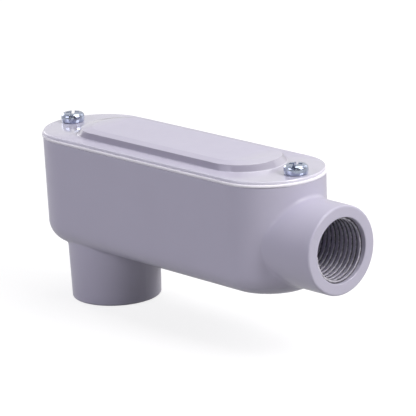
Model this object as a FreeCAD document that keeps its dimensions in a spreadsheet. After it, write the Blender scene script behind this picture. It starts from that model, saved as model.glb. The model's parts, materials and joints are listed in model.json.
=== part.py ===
"""Conduit body of the LB pattern, trade size one half: a die-cast box that turns a
conduit run through a right angle, with its gasket, cover and two cover screws.

Frame: millimetres, +Z up. The origin is the centre of the back hub's mouth, Z runs up the
back hub's axis into the box and X runs towards the mouth of the end hub.
"""
import FreeCAD, Part
import math
import os
import Sketcher

X_AXIS_GEOMETRY = -1
ORIGIN_POINT = (-1, 1)
START, END, CENTRE = 1, 2, 3
ON_SURFACE = 0.01

# ---------------------------------------------------------------- driving dimensions
SIZES = [
    # the casting's outside
    ("body_length", 115.6, "box length over its round ends, at the rim"),
    ("body_width", 35.5, "box width at the rim"),
    ("body_depth", 35.1, "rim to underside"),
    ("side_draft", 0.7, "draft of the box's sides, degrees"),
    ("bottom_radius", 7.1, "round along the underside's edge"),
    ("end_hub_drop", 18.9, "rim down to the end hub's axis"),
    ("end_hub_reach", 13.0, "end hub's face beyond the round end"),
    ("end_hub_radius", 13.9, "end hub's outside at its face"),
    ("back_hub_setback", 23.3, "blank round end to the back hub's axis"),
    ("back_hub_reach", 18.4, "back hub's face below the underside"),
    ("back_hub_radius", 14.6, "back hub's outside at its face"),
    ("end_hub_draft", 0.5, "draft of the end hub's outside, degrees"),
    ("back_hub_draft", 1.7, "draft of the back hub's outside, degrees"),
    ("hub_edge_round", 0.6, "round on the outer edge of a hub's face"),
    ("hub_root_fillet", 1.2, "fillet where a hub leaves the box"),
    # the casting's inside
    ("wall", 2.3, "side wall"),
    ("floor_thickness", 2.5, "bottom wall"),
    ("boss_radius", 4.1, "screw boss"),
    ("bore_radius", 10.2, "hub bore at the root of its thread"),
    ("mouth_chamfer", 0.15, "chamfer at a hub's mouth"),
    ("thread_length", 18.0, "end hub's face to its wire stop"),
    ("throat_radius", 7.8, "opening through a wire stop"),
    ("stop_round", 0.8, "round on the stop's edge towards the thread"),
    ("throat_flare", 2.0, "round on the stop's edge towards the chamber"),
    ("stop_length", 2.9, "length of a wire stop"),
    ("collar_radius", 13.6, "ring inside the box that carries the end hub's wire stop"),
    # gasket
    ("gasket_thickness", 1.0, "gasket, pressed"),
    ("gasket_end_band", 13.5, "gasket's width at the round ends"),
    ("gasket_side_band", 4.9, "gasket's width along the sides"),
    # cover
    ("cover_thickness", 0.9, "flange of the cover"),
    ("cover_inset", 0.2, "rim's edge to the cover's edge"),
    ("cover_edge_round", 0.3, "round on the flange's upper edge"),
    ("pad_end_margin", 14.7, "rim's round end to the raised pad"),
    ("pad_side_margin", 5.0, "rim's side to the raised pad"),
    ("pad_wall_height", 2.0, "pad's wall above the flange"),
    ("pad_side_lean", 0.6, "how far the pad's wall leans in along its sides"),
    ("pad_end_lean", 1.9, "how far it leans in at the pad's ends"),
    ("pad_bevel_rise", 0.55, "height of the bevel round the pad's top"),
    ("pad_side_bevel", 2.7, "width of that bevel along the sides"),
    ("pad_end_bevel", 3.8, "width of that bevel at the ends"),
    ("pad_shell", 1.0, "metal left over the pad's hollow"),
    # cover screws
    ("screw_inset", 5.5, "rim's round end to the axis of a cover screw"),
    ("screw_radius", 2.08, "thread's outside"),
    ("screw_length", 9.6, "under the head"),
    ("screw_point", 0.6, "chamfer at the screw's end"),
    ("thread_gap", 0.05, "screw in its tapped hole, all round"),
    ("clearance_gap", 0.3, "screw in the holes of cover and gasket, all round"),
    ("head_radius", 3.8, "screw head"),
    ("head_height", 3.2, "screw head, at its middle"),
    ("head_crown", 0.3, "how far the head's top falls to its edge"),
    ("head_shoulder", 0.9, "round on the head's upper edge"),
    ("head_foot", 0.3, "round on the head's lower edge"),
    ("slot_width", 1.15, "driver slot"),
    ("slot_depth", 1.5, "driver slot, below the head's middle"),
    ("cross_width", 1.5, "wings of the cross recess"),
    ("cross_span", 4.6, "cross recess over its wings"),
    ("cross_depth", 2.1, "cross recess, below the head's middle"),
    ("cross_draft", 12.0, "draft of the cross recess, degrees"),
    ("blank_slot_turn", 136.0, "slot's direction on the screw at the blank end, degrees from +X"),
    ("hub_slot_turn", 124.0, "slot's direction on the screw at the hub end, degrees from +X"),
]

# places worked out from the driving dimensions
BOX_CENTRE = "(sizes.body_length / 2 - sizes.back_hub_setback)"
RIM = "(sizes.back_hub_reach + sizes.body_depth)"
FLOOR_TOP = "(sizes.back_hub_reach + sizes.floor_thickness)"
END_AXIS = f"({RIM} - sizes.end_hub_drop)"
END_FACE = "(sizes.body_length - sizes.back_hub_setback + sizes.end_hub_reach)"
END_STOP = f"({END_FACE} - sizes.thread_length)"
END_LIP = f"({END_STOP} - sizes.stop_length)"
BACK_STOP = f"({FLOOR_TOP} - sizes.stop_length)"
COVER_SEAT = f"({RIM} + sizes.gasket_thickness)"
PAD_TOP = "(sizes.cover_thickness + sizes.pad_wall_height + sizes.pad_bevel_rise)"
HEAD_SEAT = f"({COVER_SEAT} + sizes.cover_thickness)"
SCREW_REACH = "(sizes.body_length / 2 - sizes.screw_inset)"
SCREW_SIDES = {"blank": f"-{SCREW_REACH}", "hub": SCREW_REACH}

doc = FreeCAD.newDocument("conduit_body")
sheet = doc.addObject("Spreadsheet::Sheet", "sizes")
for row, (alias, value, meaning) in enumerate(SIZES, start=1):
    sheet.set(f"A{row}", alias)
    sheet.set(f"B{row}", str(value))
    sheet.setAlias(f"B{row}", alias)
    sheet.set(f"C{row}", meaning)
doc.recompute()


# ---------------------------------------------------------------- helpers
def number(expression):
    """The present value of an expression on the sheet."""
    return float(sheet.evalExpression(expression))


def new_body(name):
    body = doc.addObject("PartDesign::Body", name)
    body.Label = name
    return body


def place(body, x="0", z="0", turn=None):
    """Bind a body's Placement: along X, along Z and, if given, a turn about Z."""
    body.setExpression("Placement.Base.x", x)
    body.setExpression("Placement.Base.z", z)
    if turn:
        body.Placement.Rotation = FreeCAD.Rotation(FreeCAD.Vector(0, 0, 1), number(turn))
        body.setExpression("Placement.Rotation.Angle", turn)


def new_sketch(body, name, role, shift=("0", "0", "0")):
    """A sketch on one of the body's origin planes, moved by shift in the plane's own axes."""
    sketch = body.newObject("Sketcher::SketchObject", name)
    plane = next(item for item in body.Origin.OriginFeatures if item.Role == role)
    sketch.AttachmentSupport = [(plane, "")]
    sketch.MapMode = "FlatFace"
    for axis, expression in zip("xyz", shift):
        sketch.setExpression(f"AttachmentOffset.Base.{axis}", expression)
    return sketch


def constrain(sketch, kind, *where, size=None):
    """Add one constraint; a size is an expression and stays bound to it."""
    if size is None:
        sketch.addConstraint(Sketcher.Constraint(kind, *where))
        return
    index = sketch.addConstraint(Sketcher.Constraint(kind, *where, number(size)))
    sketch.setExpression(f"Constraints[{index}]", size)


def fix_point(sketch, geometry, point, x, y):
    constrain(sketch, "DistanceX", *ORIGIN_POINT, geometry, point, size=x)
    constrain(sketch, "DistanceY", *ORIGIN_POINT, geometry, point, size=y)


def draw_slot(sketch, left, right, radius):
    """Two half circles on the sketch's X axis, centred at left and right, and their tangents."""
    x_left, x_right, r = number(left), number(right), number(radius)
    normal = FreeCAD.Vector(0, 0, 1)
    arcs = []
    for x, start in ((x_right, -math.pi / 2), (x_left, math.pi / 2)):
        circle = Part.Circle(FreeCAD.Vector(x, 0, 0), normal, r)
        arcs.append(sketch.addGeometry(Part.ArcOfCircle(circle, start, start + math.pi), False))
    lines = []
    for x_from, x_to, y in ((x_right, x_left, r), (x_left, x_right, -r)):
        line = Part.LineSegment(FreeCAD.Vector(x_from, y, 0), FreeCAD.Vector(x_to, y, 0))
        lines.append(sketch.addGeometry(line, False))
    constrain(sketch, "Tangent", arcs[0], END, lines[0], START)
    constrain(sketch, "Tangent", lines[0], END, arcs[1], START)
    constrain(sketch, "Tangent", arcs[1], END, lines[1], START)
    constrain(sketch, "Tangent", lines[1], END, arcs[0], START)
    constrain(sketch, "Equal", arcs[0], arcs[1])
    constrain(sketch, "Radius", arcs[0], size=radius)
    for arc, x in zip(arcs, (right, left)):
        constrain(sketch, "PointOnObject", arc, CENTRE, X_AXIS_GEOMETRY)
        constrain(sketch, "DistanceX", *ORIGIN_POINT, arc, CENTRE, size=x)


def draw_oblong(sketch, length, width):
    """A slot given by its size over all."""
    straight = f"({length} - {width}) / 2"
    draw_slot(sketch, f"-{straight}", straight, f"{width} / 2")


def draw_circle(sketch, x, radius):
    circle = Part.Circle(FreeCAD.Vector(number(x), 0, 0), FreeCAD.Vector(0, 0, 1), number(radius))
    index = sketch.addGeometry(circle, False)
    constrain(sketch, "Radius", index, size=radius)
    constrain(sketch, "PointOnObject", index, CENTRE, X_AXIS_GEOMETRY)
    constrain(sketch, "DistanceX", *ORIGIN_POINT, index, CENTRE, size=x)


def draw_outline(sketch, corners, arcs=None):
    """A closed outline through corners, pairs of expressions.

    arcs maps the index of a corner to the radius of the arc that leads to the next corner;
    the arc turns counterclockwise, or clockwise where the radius starts with "-".
    """
    arcs = arcs or {}
    points = [FreeCAD.Vector(number(x), number(y), 0) for x, y in corners]
    ends = []
    for index, start in enumerate(points):
        end = points[(index + 1) % len(points)]
        if index not in arcs:
            ends.append((sketch.addGeometry(Part.LineSegment(start, end), False), START, END))
            continue
        radius = arcs[index].lstrip("-")
        clockwise = arcs[index].startswith("-")
        low, high = (end, start) if clockwise else (start, end)
        chord = high - low
        across = FreeCAD.Vector(-chord.y, chord.x, 0).normalize()
        rise = math.sqrt(number(radius) ** 2 - (chord.Length / 2) ** 2)
        centre = (low + high) * 0.5 + across * rise
        angles = [math.atan2(point.y - centre.y, point.x - centre.x) for point in (low, high)]
        circle = Part.Circle(centre, FreeCAD.Vector(0, 0, 1), number(radius))
        geometry = sketch.addGeometry(Part.ArcOfCircle(circle, *angles), False)
        constrain(sketch, "Radius", geometry, size=radius)
        ends.append((geometry, END, START) if clockwise else (geometry, START, END))
    for index, (geometry, first, last) in enumerate(ends):
        following, following_first, _ = ends[(index + 1) % len(ends)]
        constrain(sketch, "Coincident", geometry, last, following, following_first)
        fix_point(sketch, geometry, first, *corners[index])


def extrude(body, kind, name, sketch, length, reverse=False, taper=None):
    """A Pad or a Pocket of a sketch, with bound length and taper."""
    feature = body.newObject(f"PartDesign::{kind}", name)
    feature.Profile = sketch
    feature.setExpression("Length", length)
    feature.Reversed = reverse
    if taper:
        feature.setExpression("TaperAngle", taper)
    doc.recompute()
    return feature


def revolve(body, kind, name, sketch, axis):
    """A full Revolution or Groove of a sketch about its own H_Axis or V_Axis."""
    feature = body.newObject(f"PartDesign::{kind}", name)
    feature.Profile = sketch
    feature.ReferenceAxis = (sketch, [axis])
    feature.Angle = 360
    doc.recompute()
    return feature


def dress(body, name, base, chosen, radius):
    """A fillet on the edges of base that chosen(edge) picks."""
    edges = enumerate(base.Shape.Edges, start=1)
    names = [f"Edge{index}" for index, edge in edges if not edge.Degenerated and chosen(edge)]
    if not names:
        raise RuntimeError(f"{name}: no edge to work on")
    feature = body.newObject("PartDesign::Fillet", name)
    feature.Base = (base, names)
    feature.setExpression("Radius", radius)
    doc.recompute()
    return feature


def at_height(z):
    """Picks edges that lie flat at a height."""
    height = number(z)
    return lambda edge: all(abs(point.z - height) < ON_SURFACE for point in edge.discretize(3))


# ---------------------------------------------------------------- the casting
def make_chamber_core():
    """The space inside the box, as the die's core leaves it round bosses and hub collar."""
    core = new_body("chamber_core")
    sketch = new_sketch(core, "core_outline", "XY_Plane", (BOX_CENTRE, "0", RIM))
    draw_oblong(sketch, "(sizes.body_length - 2 * sizes.wall)", "(sizes.body_width - 2 * sizes.wall)")
    block = extrude(core, "Pad", "core_block", sketch, "sizes.body_depth - sizes.floor_thickness",
                    reverse=True, taper="-sizes.side_draft")
    dress(core, "core_round", block, at_height(FLOOR_TOP),
          "sizes.bottom_radius - sizes.wall")

    beyond = "(sizes.body_length / 2 + sizes.boss_radius)"
    for side, depth in (("blank", "sizes.body_depth"), ("hub", "sizes.end_hub_drop")):
        sketch = new_sketch(core, f"{side}_boss_outline", "XY_Plane", (BOX_CENTRE, "0", RIM))
        if side == "blank":
            draw_slot(sketch, f"-{beyond}", SCREW_SIDES[side], "sizes.boss_radius")
        else:
            draw_slot(sketch, SCREW_SIDES[side], beyond, "sizes.boss_radius")
        extrude(core, "Pocket", f"{side}_boss_room", sketch, depth)

    sketch = new_sketch(core, "collar_outline", "YZ_Plane", ("0", END_AXIS, END_LIP))
    draw_circle(sketch, "0", "sizes.collar_radius")
    extrude(core, "Pocket", "collar_room", sketch, "sizes.body_width", reverse=True)
    return core


def draw_end_hub(sketch):
    """Half section of the end hub's drafted outside, along the sketch's X axis."""
    inner = f"({BOX_CENTRE} + (sizes.body_length - sizes.body_width) / 2)"
    edge = "sizes.hub_edge_round"
    spread = f"({END_FACE} - {edge} - {inner}) * tan(sizes.end_hub_draft * 1deg)"
    corners = [(inner, "0"), (END_FACE, "0"), (END_FACE, f"sizes.end_hub_radius - {edge}"),
               (f"{END_FACE} - {edge}", "sizes.end_hub_radius"),
               (inner, f"sizes.end_hub_radius + {spread}")]
    draw_outline(sketch, corners, {2: edge})


def draw_back_hub(sketch):
    """Half section of the back hub's drafted outside, along the sketch's Y axis."""
    inner = "(sizes.back_hub_reach + sizes.bottom_radius)"
    edge = "sizes.hub_edge_round"
    spread = f"({inner} - {edge}) * tan(sizes.back_hub_draft * 1deg)"
    corners = [("0", "0"), (f"sizes.back_hub_radius - {edge}", "0"), ("sizes.back_hub_radius", edge),
               (f"sizes.back_hub_radius + {spread}", inner), ("0", inner)]
    draw_outline(sketch, corners, {1: edge})


def draw_end_bore(sketch):
    """Half section of the end hub's bore: mouth, thread, wire stop, way under the boss."""
    bore, throat = "sizes.bore_radius", "sizes.throat_radius"
    chamfer, stop, flare = "sizes.mouth_chamfer", "sizes.stop_round", "sizes.throat_flare"
    past_boss = f"({BOX_CENTRE} + {SCREW_REACH} - 2 * sizes.boss_radius)"
    corners = [(END_FACE, "0"), (END_FACE, f"{bore} + {chamfer}"), (f"{END_FACE} - {chamfer}", bore),
               (END_STOP, bore), (END_STOP, f"{throat} + {stop}"), (f"{END_STOP} - {stop}", throat),
               (f"{END_LIP} + {flare}", throat), (END_LIP, f"{throat} + {flare}"),
               (past_boss, f"{throat} + {flare}"), (past_boss, "0")]
    draw_outline(sketch, corners, {4: "-" + stop, 6: "-" + flare})


def draw_back_bore(sketch):
    """Half section of the back hub's bore: mouth, thread, wire stop, flare into the chamber."""
    bore, throat = "sizes.bore_radius", "sizes.throat_radius"
    chamfer, stop, flare = "sizes.mouth_chamfer", "sizes.stop_round", "sizes.throat_flare"
    top = BACK_STOP
    corners = [("0", "0"), (f"{bore} + {chamfer}", "0"), (bore, chamfer), (bore, top),
               (f"{throat} + {stop}", top), (throat, f"{top} + {stop}"),
               (throat, f"{FLOOR_TOP} - {flare}"), (f"{throat} + {flare}", FLOOR_TOP), ("0", FLOOR_TOP)]
    draw_outline(sketch, corners, {4: "-" + stop, 6: "-" + flare})


def at_hub_root():
    """Picks the edges where the hubs' cones leave the box."""
    end_slope = math.tan(math.radians(number("sizes.end_hub_draft")))
    back_slope = math.tan(math.radians(number("sizes.back_hub_draft")))
    end_radius, back_radius = number("sizes.end_hub_radius"), number("sizes.back_hub_radius")
    end_start, back_start = number(f"{END_FACE} - sizes.hub_edge_round"), number("sizes.hub_edge_round")
    end_axis, box_end = number(END_AXIS), number(f"{END_FACE} - sizes.end_hub_reach")
    underside = number("sizes.back_hub_reach")

    def on_root(point):
        end_gap = math.hypot(point.y, point.z - end_axis) - end_radius - (end_start - point.x) * end_slope
        back_gap = math.hypot(point.x, point.y) - back_radius - (point.z - back_start) * back_slope
        on_end = abs(end_gap) < ON_SURFACE and point.x < box_end + ON_SURFACE
        on_back = abs(back_gap) < ON_SURFACE and point.z > underside - ON_SURFACE
        return on_end or on_back
    return lambda edge: all(on_root(point) for point in edge.discretize(7))


def make_conduit_body(core):
    """The casting: box, two hubs, chamber, bores with their wire stops, tapped bosses."""
    body = new_body("conduit_body")
    sketch = new_sketch(body, "box_outline", "XY_Plane", (BOX_CENTRE, "0", RIM))
    draw_oblong(sketch, "sizes.body_length", "sizes.body_width")
    box = extrude(body, "Pad", "box", sketch, "sizes.body_depth", reverse=True,
                  taper="-sizes.side_draft")
    dress(body, "bottom_round", box, at_height("sizes.back_hub_reach"),
          "sizes.bottom_radius")

    sketch = new_sketch(body, "end_hub_section", "XZ_Plane", ("0", END_AXIS, "0"))
    draw_end_hub(sketch)
    revolve(body, "Revolution", "end_hub", sketch, "H_Axis")
    sketch = new_sketch(body, "back_hub_section", "XZ_Plane")
    draw_back_hub(sketch)
    hubs = revolve(body, "Revolution", "back_hub", sketch, "V_Axis")
    dress(body, "hub_roots", hubs, at_hub_root(), "sizes.hub_root_fillet")

    chamber = body.newObject("PartDesign::Boolean", "chamber")
    chamber.Type = "Cut"
    chamber.setObjects([core])
    doc.recompute()

    sketch = new_sketch(body, "end_bore_section", "XZ_Plane", ("0", END_AXIS, "0"))
    draw_end_bore(sketch)
    revolve(body, "Groove", "end_bore", sketch, "H_Axis")
    sketch = new_sketch(body, "back_bore_section", "XZ_Plane")
    draw_back_bore(sketch)
    revolve(body, "Groove", "back_bore", sketch, "V_Axis")

    sketch = new_sketch(body, "tapped_hole_outline", "XY_Plane", (BOX_CENTRE, "0", RIM))
    for x in SCREW_SIDES.values():
        draw_circle(sketch, x, "sizes.screw_radius + sizes.thread_gap")
    extrude(body, "Pocket", "tapped_holes", sketch, "sizes.screw_length - sizes.gasket_thickness")
    return body


# ---------------------------------------------------------------- gasket and cover
def make_gasket():
    """Foam sheet pressed between rim and cover, with an opening and two screw holes."""
    body = new_body("gasket")
    sketch = new_sketch(body, "gasket_outline", "XY_Plane")
    draw_oblong(sketch, "sizes.body_length", "sizes.body_width")
    extrude(body, "Pad", "sheet", sketch, "sizes.gasket_thickness")

    sketch = new_sketch(body, "opening_outline", "XY_Plane")
    draw_oblong(sketch, "(sizes.body_length - 2 * sizes.gasket_end_band)",
                "(sizes.body_width - 2 * sizes.gasket_side_band)")
    extrude(body, "Pocket", "opening", sketch, "sizes.gasket_thickness", reverse=True)

    sketch = new_sketch(body, "screw_hole_outline", "XY_Plane")
    for x in SCREW_SIDES.values():
        draw_circle(sketch, x, "sizes.screw_radius + sizes.clearance_gap")
    extrude(body, "Pocket", "screw_holes", sketch, "sizes.gasket_thickness", reverse=True)
    place(body, BOX_CENTRE, RIM)
    return body


def draw_pad(body, name, height, end_inset, side_inset):
    """One level of the pad: an oblong set in from the rim by its margins and the insets."""
    sketch = new_sketch(body, name, "XY_Plane", ("0", "0", height))
    draw_oblong(sketch, f"(sizes.body_length - 2 * (sizes.pad_end_margin + {end_inset}))",
                f"(sizes.body_width - 2 * (sizes.pad_side_margin + {side_inset}))")
    return sketch


def loft(body, kind, name, levels):
    """A ruled loft through the sketches of levels, added or cut out."""
    feature = body.newObject(f"PartDesign::{kind}Loft", name)
    feature.Profile = levels[0]
    feature.Sections = levels[1:]
    feature.Ruled = True
    doc.recompute()
    return feature


def make_cover():
    """Thin plate: a flat flange and a raised pad with drafted wall, bevelled top and hollow."""
    body = new_body("cover")
    sketch = new_sketch(body, "flange_outline", "XY_Plane")
    draw_oblong(sketch, "(sizes.body_length - 2 * sizes.cover_inset)",
                "(sizes.body_width - 2 * sizes.cover_inset)")
    flange = extrude(body, "Pad", "flange", sketch, "sizes.cover_thickness")
    dress(body, "flange_edge", flange, at_height("sizes.cover_thickness"),
          "sizes.cover_edge_round")

    wall_top = "(sizes.cover_thickness + sizes.pad_wall_height)"
    loft(body, "Additive", "pad", [
        draw_pad(body, "pad_foot", "sizes.cover_thickness", "0", "0"),
        draw_pad(body, "pad_wall_top", wall_top, "sizes.pad_end_lean", "sizes.pad_side_lean"),
        draw_pad(body, "pad_table", PAD_TOP, "sizes.pad_end_lean + sizes.pad_end_bevel",
                 "sizes.pad_side_lean + sizes.pad_side_bevel")])
    loft(body, "Subtractive", "hollow", [
        draw_pad(body, "hollow_mouth", "0", "sizes.pad_shell", "sizes.pad_shell"),
        draw_pad(body, "hollow_roof", f"{PAD_TOP} - sizes.pad_shell",
                 "sizes.pad_end_lean + 2 * sizes.pad_shell", "sizes.pad_side_lean + 2 * sizes.pad_shell")])

    sketch = new_sketch(body, "screw_way_outline", "XY_Plane")
    for x in SCREW_SIDES.values():
        draw_circle(sketch, x, "sizes.screw_radius + sizes.clearance_gap")
    extrude(body, "Pocket", "screw_ways", sketch, "sizes.cover_thickness", reverse=True)
    place(body, BOX_CENTRE, COVER_SEAT)
    return body


# ---------------------------------------------------------------- cover screws
def foot_edge(edge):
    """Picks the outer edge of a screw head's underside."""
    radius = number("sizes.head_radius")
    return all(abs(point.z) < ON_SURFACE and abs(math.hypot(point.x, point.y) - radius) < ON_SURFACE
               for point in edge.discretize(3))


def make_screw(side):
    """Pan head machine screw; its axis is the body's Z axis and its head seats at zero."""
    body = new_body(f"cover_screw_{side}_end")
    sketch = new_sketch(body, f"{side}_section", "XZ_Plane")
    shank, head, top = "sizes.screw_radius", "sizes.head_radius", "sizes.head_height"
    end, point, crown = "-sizes.screw_length", "sizes.screw_point", "sizes.head_crown"
    corners = [("0", end), (f"{shank} - {point}", end), (shank, f"{end} + {point}"), (shank, "0"),
               (head, "0"), (head, f"{top} - {crown}"), ("0", top)]
    draw_outline(sketch, corners, {5: f"({head} * {head} + {crown} * {crown}) / (2 * {crown})"})
    blank = revolve(body, "Revolution", f"{side}_blank", sketch, "V_Axis")
    head = dress(body, f"{side}_shoulder", blank, at_height(f"{top} - {crown}"),
                 "sizes.head_shoulder")
    dress(body, f"{side}_foot", head, foot_edge, "sizes.head_foot")

    sketch = new_sketch(body, f"{side}_slot_outline", "XY_Plane", ("0", "0", top))
    draw_box(sketch, "2 * sizes.head_radius + 2", "sizes.slot_width")
    extrude(body, "Pocket", f"{side}_slot", sketch, "sizes.slot_depth")
    sketch = new_sketch(body, f"{side}_cross_outline", "XY_Plane", ("0", "0", top))
    draw_cross(sketch, "sizes.cross_span", "sizes.cross_width")
    extrude(body, "Pocket", f"{side}_cross", sketch, "sizes.cross_depth", taper="-sizes.cross_draft")
    place(body, f"{BOX_CENTRE} + {SCREW_SIDES[side]}", HEAD_SEAT, f"sizes.{side}_slot_turn")
    return body


def draw_box(sketch, length, width):
    x, y = f"({length}) / 2", f"({width}) / 2"
    draw_outline(sketch, [(f"-{x}", f"-{y}"), (x, f"-{y}"), (x, y), (f"-{x}", y)])


def draw_cross(sketch, span, width):
    """Plus shape: two equal bars across each other."""
    far, near = f"{span} / 2", f"{width} / 2"
    quarter = [(far, near), (near, near), (near, far)]
    corners = []
    for turn in range(4):
        for x, y in quarter if turn % 2 == 0 else reversed(quarter):
            sign_x = "" if turn in (0, 3) else "-"
            sign_y = "" if turn in (0, 1) else "-"
            corners.append((sign_x + x, sign_y + y))
    draw_outline(sketch, corners)


# ---------------------------------------------------------------- build, check and write
core = make_chamber_core()
parts = [make_conduit_body(core), make_gasket(), make_cover(), make_screw("blank"), make_screw("hub")]
doc.recompute()

failed = [obj.Name for obj in doc.Objects if {"Invalid", "Error"} & set(obj.State)]
failed += [part.Label for part in parts if part.Shape.isNull() or not part.Shape.isValid()]
if failed:
    raise RuntimeError(f"these objects failed: {failed}")

os.makedirs("parts", exist_ok=True)
for part in parts:
    part.Shape.exportStep(f"parts/{part.Label}.step")
    print(part.Label, part.Shape.optimalBoundingBox(False))
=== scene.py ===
import json
import math

import bmesh
import bpy
from mathutils import Matrix, Vector


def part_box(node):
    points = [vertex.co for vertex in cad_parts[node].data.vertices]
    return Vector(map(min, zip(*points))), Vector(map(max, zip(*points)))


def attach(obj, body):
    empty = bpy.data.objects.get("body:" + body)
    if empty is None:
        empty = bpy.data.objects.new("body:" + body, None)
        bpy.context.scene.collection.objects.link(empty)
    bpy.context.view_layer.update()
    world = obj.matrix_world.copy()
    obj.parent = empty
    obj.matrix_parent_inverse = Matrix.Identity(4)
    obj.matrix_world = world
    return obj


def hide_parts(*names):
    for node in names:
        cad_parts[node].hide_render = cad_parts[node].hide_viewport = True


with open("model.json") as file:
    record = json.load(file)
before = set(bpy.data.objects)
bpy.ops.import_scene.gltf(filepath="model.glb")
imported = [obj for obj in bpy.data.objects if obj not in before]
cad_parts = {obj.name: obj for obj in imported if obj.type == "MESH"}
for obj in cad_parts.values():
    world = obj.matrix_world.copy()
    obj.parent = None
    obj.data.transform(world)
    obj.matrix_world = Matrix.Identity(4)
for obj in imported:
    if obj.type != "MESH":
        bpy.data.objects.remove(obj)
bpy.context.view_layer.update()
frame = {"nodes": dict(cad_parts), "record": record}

scene = bpy.context.scene
scene.view_settings.view_transform = "Standard"
nodes = frame["nodes"]
mounts = {mount["name"]: mount for mount in frame["record"]["mounts"]}

# ---------------------------------------------------------------- camera
# A long lens well above the floor, looking across the box's near corner at the end hub.
sensor_mm, lens_mm = 36.0, 241.7521
look_azimuth, look_elevation, look_roll = (math.radians(angle) for angle in (48.037, 15.824, -2.552))
rim_centre = Vector((0.0345, 0.0, 0.0535))
camera_distance, camera_right, camera_up = 0.8798, 0.008783, -0.017608
toward_camera = Vector((math.sin(look_azimuth) * math.cos(look_elevation),
                        -math.cos(look_azimuth) * math.cos(look_elevation),
                        math.sin(look_elevation)))
level_right = Vector((math.cos(look_azimuth), math.sin(look_azimuth), 0.0))
level_up = toward_camera.cross(level_right)
right = level_right * math.cos(look_roll) + level_up * math.sin(look_roll)
up = level_up * math.cos(look_roll) - level_right * math.sin(look_roll)
camera = bpy.data.objects.new("camera", bpy.data.cameras.new("camera"))
scene.collection.objects.link(camera)
camera.data.sensor_width, camera.data.lens = sensor_mm, lens_mm
camera.data.clip_start, camera.data.clip_end = 0.01, 50.0
place = rim_centre + toward_camera * camera_distance + right * camera_right + up * camera_up
camera.matrix_world = Matrix.Translation(place) @ Matrix((right, up, toward_camera)).transposed().to_4x4()
scene.camera = camera

# ---------------------------------------------------------------- the casting
# Die-cast aluminium, shot clean and powder coated pale grey outside and in. The coating is
# thick and levels out to a semi-gloss skin with a slight orange peel.


def nodes_of(material):
    """Start a material over with a Principled shader, its output and Object coordinates."""
    material.use_nodes = True
    tree = material.node_tree
    tree.nodes.clear()
    output = tree.nodes.new("ShaderNodeOutputMaterial")
    shader = tree.nodes.new("ShaderNodeBsdfPrincipled")
    tree.links.new(shader.outputs["BSDF"], output.inputs["Surface"])
    place = tree.nodes.new("ShaderNodeTexCoord").outputs["Object"]
    return tree, shader, place


def noise(tree, place, size, detail=2.0, roughness=0.5):
    """Noise whose features are about size metres across."""
    node = tree.nodes.new("ShaderNodeTexNoise")
    node.inputs["Scale"].default_value = 1.0 / size
    node.inputs["Detail"].default_value = detail
    node.inputs["Roughness"].default_value = roughness
    tree.links.new(place, node.inputs["Vector"])
    return node.outputs["Fac"]


def spread(tree, source, low, high, start=0.3, end=0.7):
    """Map a value from start..end to low..high."""
    node = tree.nodes.new("ShaderNodeMapRange")
    for name, value in (("From Min", start), ("From Max", end), ("To Min", low), ("To Max", high)):
        node.inputs[name].default_value = value
    tree.links.new(source, node.inputs["Value"])
    return node.outputs["Result"]


def blend(tree, share, first, second):
    """Mix two colours, each a socket or a plain RGBA value, by share."""
    node = tree.nodes.new("ShaderNodeMix")
    node.data_type = "RGBA"
    tree.links.new(share, node.inputs["Factor"])
    for name, colour in (("A", first), ("B", second)):
        socket = next(item for item in node.inputs if item.name == name and item.type == "RGBA")
        if isinstance(colour, tuple):
            socket.default_value = colour
        else:
            tree.links.new(colour, socket)
    return next(item for item in node.outputs if item.type == "RGBA")


def relief(tree, source, height, below=None):
    """A bump of the given height in metres, laid over an earlier one."""
    node = tree.nodes.new("ShaderNodeBump")
    node.inputs["Strength"].default_value = 1.0
    node.inputs["Distance"].default_value = height
    tree.links.new(source, node.inputs["Height"])
    if below is not None:
        tree.links.new(below, node.inputs["Normal"])
    return node.outputs["Normal"]


def enamel(name, colour, shade):
    """Stoved enamel: a pale grey that pools a little unevenly under a semi-gloss, faintly wavy
    skin that rounds the edges over. Returns the material, its tree, shader and place, and the
    tone, for a piece to add to."""
    cloud_size, dull_patch, wave_size, peel_size = 0.022, 0.004, 0.007, 0.0016
    wave_height, peel_height, edge_rounding = 0.00003, 0.000006, 0.0005
    material = bpy.data.materials.new(name)
    tree, shader, place = nodes_of(material)
    cloud = spread(tree, noise(tree, place, cloud_size, 3.0), 0.0, 1.0)
    tone = blend(tree, cloud, colour, shade)
    tree.links.new(tone, shader.inputs["Base Color"])
    tree.links.new(spread(tree, noise(tree, place, dull_patch, 2.0), 0.38, 0.46), shader.inputs["Roughness"])
    rounded = tree.nodes.new("ShaderNodeBevel")
    rounded.samples = 6
    rounded.inputs["Radius"].default_value = edge_rounding
    wave = relief(tree, noise(tree, place, wave_size, 0.0), wave_height, rounded.outputs["Normal"])
    peel = relief(tree, noise(tree, place, peel_size, 0.0), peel_height, wave)
    tree.links.new(peel, shader.inputs["Normal"])
    tree.links.new(peel, shader.inputs["Coat Normal"])
    shader.inputs["IOR"].default_value = 1.45
    shader.inputs["Coat Weight"].default_value = 0.3
    shader.inputs["Coat Roughness"].default_value = 0.1
    shader.inputs["Coat IOR"].default_value = 1.5
    return material, tree, shader, place, tone


coat_colour, coat_shade = (0.565, 0.543, 0.655, 1.0), (0.550, 0.528, 0.638, 1.0)
casting = nodes["conduit_body"]
casting.material_slots[0].material = enamel("enamel_casting", coat_colour, coat_shade)[0]

# ---------------------------------------------------------------- hub threads
# Each hub is tapped after coating with a half inch conduit thread, 14 turns to the inch,
# right-handed. The tap leaves bright bare metal that the coating no longer covers.
thread_pitch, thread_height, thread_foot, thread_crest = 0.001814, 0.00118, 0.00181, 0.00026
mouth_setback, inner_margin = 0.00015, 0.0003
buried_at_mouth, buried_inside = 0.00008, 0.00002
hub_bore = mounts["end_hub"]["dims"]["r_mm"] / 1000
hub_depth = 0.0178


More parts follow.
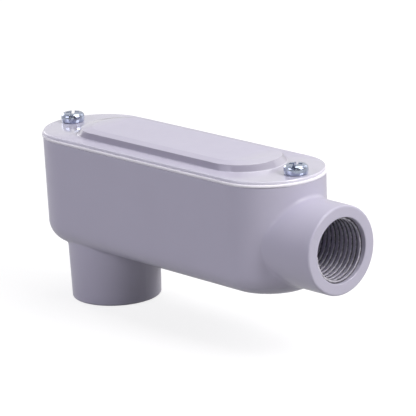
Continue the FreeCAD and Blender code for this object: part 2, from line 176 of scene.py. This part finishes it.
def node_input(group, name, kind, value):
    """Add a named input with its default to a node group."""
    socket = group.interface.new_socket(name, in_out="INPUT", socket_type=kind)
    socket.default_value = value


def math_node(group, operation, *values):
    """The result of a sum on sockets and plain numbers."""
    node = group.nodes.new("ShaderNodeMath")
    node.operation = operation
    for index, value in enumerate(values):
        if isinstance(value, (int, float)):
            node.inputs[index].default_value = value
        else:
            group.links.new(value, node.inputs[index])
    return node.outputs[0]


def make_thread_tree():
    """A ridge that climbs round the Z axis, fading in and out at its two ends."""
    group = bpy.data.node_groups.new("thread_ridge", "GeometryNodeTree")
    for name, value in (("Pitch", 0.001), ("Turns", 5.0), ("Start Radius", 0.005), ("End Radius", 0.005),
                        ("Height", 0.001), ("Base Width", 0.001), ("Crest Width", 0.0002),
                        ("Start Fade", 0.5), ("End Fade", 0.5)):
        node_input(group, name, "NodeSocketFloat", value)
    node_input(group, "Steps", "NodeSocketInt", 96)
    node_input(group, "Metal", "NodeSocketMaterial", None)
    group.interface.new_socket("Geometry", in_out="OUTPUT", socket_type="NodeSocketGeometry")
    given = group.nodes.new("NodeGroupInput").outputs
    result = group.nodes.new("NodeGroupOutput")
    link = group.links.new

    path = group.nodes.new("GeometryNodeCurveSpiral")
    link(given["Steps"], path.inputs["Resolution"])
    link(given["Turns"], path.inputs["Rotations"])
    link(given["Start Radius"], path.inputs["Start Radius"])
    link(given["End Radius"], path.inputs["End Radius"])
    link(math_node(group, "MULTIPLY", given["Pitch"], given["Turns"]), path.inputs["Height"])
    upright = group.nodes.new("GeometryNodeSetCurveNormal")
    upright.mode = "Z_UP"
    link(path.outputs["Curve"], upright.inputs["Curve"])

    along = group.nodes.new("GeometryNodeSplineParameter").outputs["Factor"]
    turn = math_node(group, "MULTIPLY", along, given["Turns"])
    left = math_node(group, "SUBTRACT", given["Turns"], turn)
    rise = math_node(group, "MINIMUM", math_node(group, "DIVIDE", turn, given["Start Fade"]), 1.0)
    fall = math_node(group, "MINIMUM", math_node(group, "DIVIDE", left, given["End Fade"]), 1.0)
    scale = math_node(group, "MAXIMUM", math_node(group, "MINIMUM", rise, fall), 0.02)
    fade = group.nodes.new("GeometryNodeSetCurveRadius")
    link(upright.outputs["Curve"], fade.inputs["Curve"])
    link(scale, fade.inputs["Radius"])

    section = group.nodes.new("GeometryNodeCurvePrimitiveQuadrilateral")
    section.mode = "TRAPEZOID"
    link(given["Height"], section.inputs["Height"])
    link(given["Base Width"], section.inputs["Bottom Width"])
    link(given["Crest Width"], section.inputs["Top Width"])
    section.inputs["Offset"].default_value = 0.0
    shift = group.nodes.new("ShaderNodeCombineXYZ")
    link(math_node(group, "MULTIPLY", given["Height"], 0.5), shift.inputs["Y"])
    seat = group.nodes.new("GeometryNodeTransform")
    link(section.outputs["Curve"], seat.inputs["Geometry"])
    link(shift.outputs["Vector"], seat.inputs["Translation"])

    sweep = group.nodes.new("GeometryNodeCurveToMesh")
    link(fade.outputs["Curve"], sweep.inputs["Curve"])
    link(seat.outputs["Geometry"], sweep.inputs["Profile Curve"])
    sweep.inputs["Fill Caps"].default_value = True
    real = group.nodes.new("GeometryNodeRealizeInstances")
    link(sweep.outputs["Mesh"], real.inputs["Geometry"])
    finish = group.nodes.new("GeometryNodeSetMaterial")
    link(real.outputs["Geometry"], finish.inputs["Geometry"])
    link(given["Metal"], finish.inputs["Material"])
    link(finish.outputs["Geometry"], result.inputs["Geometry"])
    return group


def make_thread(name, metal, **sizes):
    """Evaluate the thread tree for one thread, as a plain mesh round the Z axis that carries
    each point's share of the way from root to crest."""
    carrier = bpy.data.objects.new(name, bpy.data.meshes.new(name + "_carrier"))
    scene.collection.objects.link(carrier)
    modifier = carrier.modifiers.new("thread", "NODES")
    modifier.node_group = thread_tree
    for item in thread_tree.interface.items_tree:
        if item.in_out == "INPUT":
            wanted = metal if item.name == "Metal" else sizes.get(item.name.lower().replace(" ", "_"))
            if wanted is not None:
                modifier[item.identifier] = wanted
    mesh = bpy.data.meshes.new_from_object(carrier.evaluated_get(bpy.context.evaluated_depsgraph_get()))
    bpy.data.objects.remove(carrier)
    crest = mesh.attributes.new("crest", "FLOAT", "POINT")
    for vertex, share in zip(mesh.vertices, crest.data):
        climb = math.hypot(vertex.co.x, vertex.co.y) - sizes["start_radius"]
        share.value = min(1.0, abs(climb / sizes["height"]))
    return mesh


def outward(mesh):
    """Merge doubles, turn every face outwards and keep edges over 35 degrees sharp."""
    work = bmesh.new()
    work.from_mesh(mesh)
    bmesh.ops.remove_doubles(work, verts=work.verts, dist=1e-7)
    bmesh.ops.recalc_face_normals(work, faces=work.faces)
    for face in work.faces:
        face.smooth = True
    for edge in work.edges:
        edge.smooth = edge.is_manifold and edge.calc_face_angle(0.0) < math.radians(35)
    work.to_mesh(mesh)
    work.free()


def finished(name, mesh, material):
    """Close a mesh up, give it its one material and put it in the scene."""
    outward(mesh)
    mesh.materials.clear()
    mesh.materials.append(material)
    piece = bpy.data.objects.new(name, mesh)
    scene.collection.objects.link(piece)
    return piece


def cut_metal(name, crest_colour, root_shade_colour):
    """Tapped aluminium: pale bare metal on the crests, and painted shade dark down in the roots."""
    stain_size, rough_patch, tool_mark, mark_height = 0.0016, 0.0007, 0.0003, 0.000008
    material = bpy.data.materials.new(name)
    tree, shader, place = nodes_of(material)
    height = tree.nodes.new("ShaderNodeAttribute")
    height.attribute_name = "crest"
    stain = spread(tree, noise(tree, place, stain_size, 3.0), -0.12, 0.12)
    share = spread(tree, math_node(tree, "ADD", height.outputs["Fac"], stain), 0.0, 1.0, 0.25, 0.75)
    tree.links.new(blend(tree, share, root_shade_colour, crest_colour), shader.inputs["Base Color"])
    tree.links.new(spread(tree, noise(tree, place, rough_patch, 3.0), 0.2, 0.34), shader.inputs["Roughness"])
    tree.links.new(relief(tree, noise(tree, place, tool_mark, 2.0), mark_height), shader.inputs["Normal"])
    shader.inputs["Metallic"].default_value = 0.25
    return material


thread_tree = make_thread_tree()
# The second colour is painted shade, near black, for the thread roots.
tapped_metal = cut_metal("tapped_aluminium", (0.90, 0.88, 0.95, 1.0), (0.06, 0.055, 0.07, 1.0))
for mount_name, piece_name in (("end_hub", "end_hub_thread"), ("back_hub", "back_hub_thread")):
    mouth = Vector(mounts[mount_name]["pos_m"])
    inwards = -Vector(mounts[mount_name]["axis"])
    mesh = make_thread(piece_name, tapped_metal, pitch=thread_pitch, height=-thread_height,
                       turns=(hub_depth - inner_margin) / thread_pitch,
                       start_radius=hub_bore + buried_at_mouth, end_radius=hub_bore + buried_inside,
                       base_width=thread_foot, crest_width=thread_crest, start_fade=0.12, end_fade=0.4)
    facing_in = inwards.to_track_quat("Z", "Y").to_matrix().to_4x4()
    mesh.transform(Matrix.Translation(mouth + inwards * mouth_setback) @ facing_in)
    piece = finished(piece_name, mesh, tapped_metal)
    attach(piece, "housing")

# ---------------------------------------------------------------- gasket
# White closed-cell foam punched from sheet. Pressed under the cover, its cut edges swell
# into a soft bead that stands a little proud of the rim.
cell_size, cell_depth = 0.0005, 0.00004
foam = bpy.data.materials.new("white_foam")
tree, shader, place_socket = nodes_of(foam)
cells = noise(tree, place_socket, cell_size, 2.0, 0.6)
tone = blend(tree, spread(tree, cells, 0.0, 1.0), (0.93, 0.91, 0.96, 1.0), (0.97, 0.955, 0.99, 1.0))
tree.links.new(tone, shader.inputs["Base Color"])
shader.inputs["Roughness"].default_value = 0.8
tree.links.new(relief(tree, cells, cell_depth), shader.inputs["Normal"])

gasket_low, gasket_high = (Vector(corner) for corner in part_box("gasket"))
gasket_middle, gasket_size = (gasket_low + gasket_high) / 2, gasket_high - gasket_low
swell, bead = 0.00030, 0.00046
end_band, side_band, hole_radius = 0.0135, 0.0049, 0.00238


def oblong(length, width, steps=24):
    """Points round an oblong with half-round ends, about the origin."""
    radius = width / 2
    points = []
    for side in (1, -1):
        for step in range(steps + 1):
            angle = math.pi * (step / steps - 0.5)
            reach = length / 2 - radius + radius * math.cos(angle)
            points.append((side * reach, side * radius * math.sin(angle)))
    return points


def ring(radius, middle, steps):
    """Points round a circle about a place on the X axis."""
    turns = [math.tau * step / steps for step in range(steps)]
    return [(middle + radius * math.cos(turn), radius * math.sin(turn)) for turn in turns]


screw_joints = [joint for joint in frame["record"]["behaviour"]["joints"] if joint["type"] == "hinge"]
opening = oblong(gasket_size.x - 2 * end_band, gasket_size.y - 2 * side_band)
holes = [ring(hole_radius, joint["pos_m"][0] - gasket_middle.x, 24) for joint in screw_joints]
sheet = bpy.data.curves.new("gasket_sheet", "CURVE")
sheet.dimensions, sheet.fill_mode = "2D", "BOTH"
sheet.extrude = gasket_size.z / 2 - bead
sheet.bevel_depth, sheet.bevel_resolution, sheet.offset = bead, 3, swell - bead
for outline in [oblong(gasket_size.x, gasket_size.y, 40), opening] + holes:
    line = sheet.splines.new("POLY")
    line.points.add(len(outline) - 1)
    for point, (x, y) in zip(line.points, outline):
        point.co = (x, y, 0.0, 1.0)
    line.use_cyclic_u = True
carrier = bpy.data.objects.new("gasket_carrier", sheet)
scene.collection.objects.link(carrier)
mesh = bpy.data.meshes.new_from_object(carrier.evaluated_get(bpy.context.evaluated_depsgraph_get()))
bpy.data.objects.remove(carrier)
mesh.transform(Matrix.Translation(gasket_middle))
gasket = finished("gasket_foam", mesh, foam)
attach(gasket, "cover")
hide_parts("gasket")

# ---------------------------------------------------------------- cover
# Thin pressed plate with a raised, bevelled pad, enamelled a touch paler than the casting. Painted
# shade darkens the pad's steep wall and a little of its bevel, a painted highlight makes the cut edge
# pale, and the coat is glossiest round the screws.
cover_colour, cover_shade = (0.600, 0.578, 0.690, 1.0), (0.586, 0.564, 0.674, 1.0)
# Painted light for the cover's steep faces: a painted highlight on the cut edge, painted shade on the pad's
# wall.
edge_painted_highlight, wall_painted_shade = (0.78, 0.76, 0.86, 1.0), (0.37, 0.35, 0.43, 1.0)
screw_gloss, side_gloss, gloss_start, gloss_end = 1.0, 0.12, 0.015, 0.022
flange_top = screw_joints[0]["pos_m"][2]
cover = nodes["cover"]
enamelled, tree, shader, place_socket, tone = enamel("enamel_cover", cover_colour, cover_shade)
cover.material_slots[0].material = enamelled
upward = tree.nodes.new("ShaderNodeSeparateXYZ")
tree.links.new(tree.nodes.new("ShaderNodeNewGeometry").outputs["Normal"], upward.inputs[0])
spot = tree.nodes.new("ShaderNodeSeparateXYZ")
tree.links.new(place_socket, spot.inputs[0])
# Painted light by facing: painted shade on the pad's wall and bevel, a painted highlight on the cut edge.
steep = spread(tree, upward.outputs["Z"], 1.0, 0.0, 0.90, 0.995)
above = spread(tree, spot.outputs["Z"], 0.0, 1.0, flange_top - 0.0001, flange_top + 0.0003)
upright_painted_light = blend(tree, above, edge_painted_highlight, wall_painted_shade)
tree.links.new(blend(tree, steep, tone, upright_painted_light), shader.inputs["Base Color"])
gloss = 0.0
for joint in screw_joints:
    away = tree.nodes.new("ShaderNodeVectorMath")
    away.operation = "DISTANCE"
    tree.links.new(place_socket, away.inputs[0])
    away.inputs[1].default_value = joint["pos_m"]
    near = spread(tree, away.outputs["Value"], screw_gloss, side_gloss, gloss_start, gloss_end)
    gloss = math_node(tree, "MAXIMUM", near, gloss)
tree.links.new(gloss, shader.inputs["Coat Weight"])
shader.inputs["Coat Roughness"].default_value = 0.05
shader.inputs["Coat IOR"].default_value = 1.8

# ---------------------------------------------------------------- cover screws
# Number 8 pan head machine screws, 32 turns to the inch, cold headed and thread rolled in
# steel with a bright blue-white zinc plate. The head is the solid's own, over a real thread.
zinc_bright, zinc_dull = (0.52, 0.57, 0.68, 1.0), (0.34, 0.38, 0.49, 1.0)
zinc = bpy.data.materials.new("zinc_plate")
tree, shader, place_socket = nodes_of(zinc)
stain = spread(tree, noise(tree, place_socket, 0.0016, 3.0), 0.0, 1.0)
tree.links.new(blend(tree, stain, zinc_bright, zinc_dull), shader.inputs["Base Color"])
tree.links.new(spread(tree, noise(tree, place_socket, 0.0008, 3.0), 0.12, 0.26), shader.inputs["Roughness"])
dents = relief(tree, noise(tree, place_socket, 0.0011, 1.0), 0.00006)
tree.links.new(relief(tree, noise(tree, place_socket, 0.0003, 2.0), 0.000008, dents), shader.inputs["Normal"])
shader.inputs["Metallic"].default_value = 1.0

screw_pitch, screw_outside, screw_core = 0.000794, 0.00208, 0.00162
neck_radius = screw_outside - 0.0001
screw_foot, screw_crest, foot_depth, tip_gap = 0.00074, 0.0001, 0.00004, 0.0002
cut_below_seat, head_bands, head_swell = 0.0001, 9, 0.10
screw_nodes = {"blank_end_screw": "cover_screw_blank_end", "hub_end_screw": "cover_screw_hub_end"}


def turned(profile, steps=48):
    """A closed solid of revolution about Z from (radius, height) pairs, bottom to top."""
    work = bmesh.new()
    rings = [[work.verts.new((x, y, height)) for x, y in ring(radius, 0.0, steps)]
             for radius, height in profile]
    for lower, upper in zip(rings, rings[1:]):
        for k in range(steps):
            work.faces.new((lower[k], lower[(k + 1) % steps], upper[(k + 1) % steps], upper[k]))
    work.faces.new(list(reversed(rings[0])))
    work.faces.new(rings[-1])
    mesh = bpy.data.meshes.new("turned")
    work.to_mesh(mesh)
    work.free()
    return mesh


def slice_across(work, place, **options):
    """Cut a mesh right through, level, at a place."""
    return bmesh.ops.bisect_plane(work, geom=work.verts[:] + work.edges[:] + work.faces[:], dist=1e-8,
                                  plane_co=place, plane_no=(0, 0, 1), **options)


for joint in screw_joints:
    node_name, axis = screw_nodes[joint["child"]], Vector(joint["pos_m"])
    low, high = (Vector(corner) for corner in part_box(node_name))
    head = nodes[node_name].data.copy()
    work = bmesh.new()
    work.from_mesh(head)
    bmesh.ops.remove_doubles(work, verts=work.verts, dist=1e-7)
    cut = slice_across(work, axis - Vector((0, 0, cut_below_seat)), clear_inner=True)
    rim = [item for item in cut["geom_cut"] if isinstance(item, bmesh.types.BMEdge)]
    bmesh.ops.contextual_create(work, geom=rim)
    head_height = high.z - axis.z
    for step in range(1, head_bands):
        slice_across(work, axis + Vector((0, 0, head_height * step / head_bands)))
    for vertex in work.verts:
        rise = (vertex.co.z - axis.z) / head_height
        belly = 1.0 - head_swell * (1.9 * rise - 0.85) ** 2
        vertex.co.x = axis.x + (vertex.co.x - axis.x) * belly
        vertex.co.y = axis.y + (vertex.co.y - axis.y) * belly
    work.to_mesh(head)
    work.free()
    length = axis.z - low.z
    core = turned([(screw_core - 0.0005, 0.0), (screw_core, 0.0005), (screw_core, length - 0.0012),
                   (neck_radius, length - 0.0008), (neck_radius, length + 0.0002)])
    ridge = make_thread(node_name + "_ridge", zinc, pitch=screw_pitch, turns=(length - 0.0013) / screw_pitch,
                        height=screw_outside - screw_core + foot_depth, start_radius=screw_core - foot_depth,
                        end_radius=screw_core - foot_depth, base_width=screw_foot, crest_width=screw_crest,
                        start_fade=0.8, end_fade=0.8, steps=560)
    core.transform(Matrix.Translation((axis.x, axis.y, low.z)))
    ridge.transform(Matrix.Translation((axis.x, axis.y, low.z + tip_gap)))
    work = bmesh.new()
    for mesh in (head, core, ridge):
        work.from_mesh(mesh)
    screw_mesh = bpy.data.meshes.new(node_name + "_threaded")
    work.to_mesh(screw_mesh)
    work.free()
    screw = finished(node_name + "_threaded", screw_mesh, zinc)
    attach(screw, joint["child"])
    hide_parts(node_name)

# ---------------------------------------------------------------- floor and light
# A white paper sweep in a dark room, seen through from below: the paper is bright to the camera
# and in reflections, and throws little light back up. Soft boxes stand round it and hang above.
reach, floor_level = 6.0, -0.0001
paper_colour, paper_glow, mirrored_glow = (0.30, 0.30, 0.30, 1.0), 0.80, 0.45
white, dark_side, ambient_level = (1.0, 1.0, 1.0, 1.0), (0.72, -0.69, 0.0), 0.048
floor_mesh = bpy.data.meshes.new("floor")
corners = [(x * reach, y * reach, floor_level) for x, y in ((-1, -1), (1, -1), (1, 1), (-1, 1))]
floor_mesh.from_pydata(corners, [], [(0, 1, 2, 3)])
floor = bpy.data.objects.new("floor", floor_mesh)
scene.collection.objects.link(floor)
paper = bpy.data.materials.new("white_paper")
paper.use_nodes = True
tree = paper.node_tree
tree.nodes.clear()
output = tree.nodes.new("ShaderNodeOutputMaterial")
rays = tree.nodes.new("ShaderNodeLightPath")
matt = tree.nodes.new("ShaderNodeBsdfDiffuse")
matt.inputs["Color"].default_value = paper_colour
glow = tree.nodes.new("ShaderNodeEmission")
glow.inputs["Color"].default_value = white
floor_glow = math_node(tree, "MULTIPLY", rays.outputs["Is Camera Ray"], paper_glow)
mirror_glow = math_node(tree, "MULTIPLY", rays.outputs["Is Glossy Ray"], mirrored_glow)
tree.links.new(math_node(tree, "ADD", floor_glow, mirror_glow), glow.inputs["Strength"])
total = tree.nodes.new("ShaderNodeAddShader")
tree.links.new(matt.outputs["BSDF"], total.inputs[0])
tree.links.new(glow.outputs["Emission"], total.inputs[1])
clear = tree.nodes.new("ShaderNodeBsdfTransparent")
sides = tree.nodes.new("ShaderNodeMixShader")
tree.links.new(tree.nodes.new("ShaderNodeNewGeometry").outputs["Backfacing"], sides.inputs[0])
tree.links.new(total.outputs["Shader"], sides.inputs[1])
tree.links.new(clear.outputs["BSDF"], sides.inputs[2])
tree.links.new(sides.outputs["Shader"], output.inputs["Surface"])
floor_mesh.materials.append(paper)

world = bpy.data.worlds.new("studio")
scene.world = world
world.use_nodes = True
tree = world.node_tree
tree.nodes.clear()
output = tree.nodes.new("ShaderNodeOutputWorld")
rays = tree.nodes.new("ShaderNodeLightPath")
direction = tree.nodes.new("ShaderNodeTexCoord").outputs["Generated"]
facing = tree.nodes.new("ShaderNodeVectorMath")
facing.operation = "DOT_PRODUCT"
facing.inputs[1].default_value = dark_side
tree.links.new(direction, facing.inputs[0])
room = spread(tree, facing.outputs["Value"], 0.8, 0.05, -0.25, 0.35)
sky = tree.nodes.new("ShaderNodeBackground")
sky.inputs["Color"].default_value = white
seen = rays.outputs["Is Camera Ray"]
mirrored = math_node(tree, "MULTIPLY", rays.outputs["Is Glossy Ray"], room)
direct = math_node(tree, "ADD", seen, mirrored)
straight = math_node(tree, "ADD", seen, rays.outputs["Is Glossy Ray"])
scattered = math_node(tree, "MULTIPLY", math_node(tree, "SUBTRACT", 1.0, straight), ambient_level)
tree.links.new(math_node(tree, "ADD", direct, scattered), sky.inputs["Strength"])
tree.links.new(sky.outputs["Background"], output.inputs["Surface"])


def softbox(name, where, size, power, colour):
    """A square area lamp that faces the middle of the part."""
    light = bpy.data.lights.new(name, "AREA")
    light.shape, light.size, light.energy, light.color = "SQUARE", size, power, colour
    lamp = bpy.data.objects.new(name, light)
    scene.collection.objects.link(lamp)
    lamp.location = where
    lamp.rotation_euler = (Vector((0.035, 0.0, 0.03)) - Vector(where)).to_track_quat("-Z", "Y").to_euler()


softbox("light_above", (0.05, 0.25, 1.0), 0.8, 4.15, (1.0, 0.985, 0.985))
softbox("light_right", (0.85, 0.20, 0.60), 0.5, 7.9, (1.0, 0.985, 1.0))
softbox("light_front", (-0.25, -1.0, 0.55), 0.7, 4.7, (0.99, 0.97, 1.10))
softbox("light_left", (-0.95, 0.15, 0.35), 0.5, 2.2, (1.0, 0.98, 1.0))
softbox("light_corner", (0.70, -0.70, 0.35), 0.5, 0.5, (1.0, 0.98, 1.04))
softbox("light_back", (0.10, 1.0, 0.50), 0.6, 0.9, (1.0, 0.98, 1.02))
